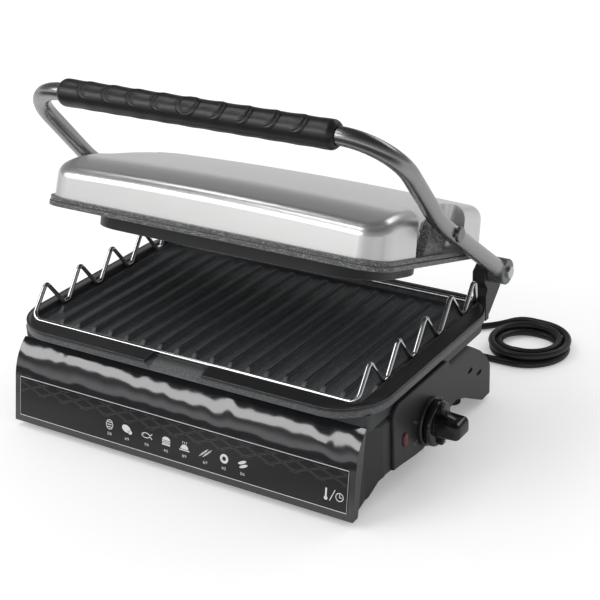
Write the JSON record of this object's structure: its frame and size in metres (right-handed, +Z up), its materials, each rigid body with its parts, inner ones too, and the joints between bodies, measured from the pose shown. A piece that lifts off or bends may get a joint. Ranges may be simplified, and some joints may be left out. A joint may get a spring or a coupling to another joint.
{
  "type": "contact grill",
  "caption": "Countertop contact grill with a ribbed lower plate, a floating ribbed lid on a swinging tube handle, a thermostat knob and a wire rack.",
  "frame": {"origin": "middle of the grill's footprint on the worktop, without its free cord", "axes": "+X to the user's right, +Y to the back, +Z up"},
  "size_m": [0.402, 0.3928, 0.3099],
  "materials": {
    "charcoal_plastic": "semi-matte moulded charcoal",
    "zinc_sheet": "zinc-plated sheet",
    "zinc_screws": "plated",
    "foot_rubber": "matt",
    "gloss_black": "polished black",
    "label_film": "printed film",
    "red_lens": "translucent red",
    "knob_black": "satin black",
    "inner_parts": "moulded",
    "dark_enamel": "dark grey enamel",
    "cast_nonstick": "non-stick coated casting",
    "heater_steel": "heat-darkened",
    "bright_sheet": "bright sheet",
    "bracket_black": "black enamel",
    "chrome_pins": "bright plated",
    "grey_cap": "grey moulded",
    "satin_tube": "satin",
    "grip_black": "semi-matte black",
    "silver_cover": "satin silver",
    "chrome_wire": "bright chrome",
    "cord_rubber": "soft black",
    "plug_black": "moulded black"
  },
  "bodies": {
    "base": {"base_housing": "charcoal_plastic", "bottom_cover": "zinc_sheet", "hatch_screws": "zinc_screws", "rubber_feet": "foot_rubber", "front_cover": "gloss_black", "front_label": "label_film", "control_cover": "charcoal_plastic", "lamp_lens": "red_lens", "knob_bezel": "knob_black", "thermostat": "inner_parts", "terminal_block": "inner_parts", "plate_frame": "dark_enamel", "lower_plate": "cast_nonstick", "lower_heater": "heater_steel", "lower_heat_reflector": "bright_sheet", "hinge_bracket_right": "bracket_black", "hinge_bracket_left": "bracket_black", "bracket_screws": "zinc_screws", "hinge_pins": "chrome_pins", "wire_rack": "chrome_wire", "strain_relief": "cord_rubber", "mains_cord": "cord_rubber", "cord_coil": "cord_rubber", "plug_lead": "cord_rubber", "plug": "plug_black"},
    "handle": {"handle_tube": "satin_tube", "handle_grip": "grip_black", "hinge_cap_right": "grey_cap", "hinge_cap_left": "grey_cap", "lid_pivot_bolts": "chrome_pins", "lid_pivot_spacers": "zinc_screws", "lid_pivot_nuts": "zinc_screws"},
    "lid": {"upper_plate": "cast_nonstick", "lid_cover": "silver_cover", "upper_heater": "heater_steel", "upper_heat_reflector": "bright_sheet"},
    "knob": {"knob": "knob_black", "thermostat_shaft": "chrome_pins"}
  },
  "joints": [
    {"name": "handle_hinge", "type": "hinge", "parent": "base", "child": "handle", "pos_m": [-0.012, 0.12025, 0.121], "axis": [1, 0, 0], "range_deg": [-70, 20.85]},
    {"name": "lid_pivot", "type": "hinge", "parent": "handle", "child": "lid", "pos_m": [-0.012, 0.02125, 0.193], "axis": [1, 0, 0], "range_deg": [-4.1, 13.7]},
    {"name": "knob_turn", "type": "hinge", "parent": "base", "child": "knob", "pos_m": [0.173, -0.01975, 0.04], "axis": [1, 0, 0], "range_deg": [0, 270]}
  ],
  "couplings": [
    {"joint": "lid_pivot", "follows": "handle_hinge", "ratio": -0.1942}
  ]
}
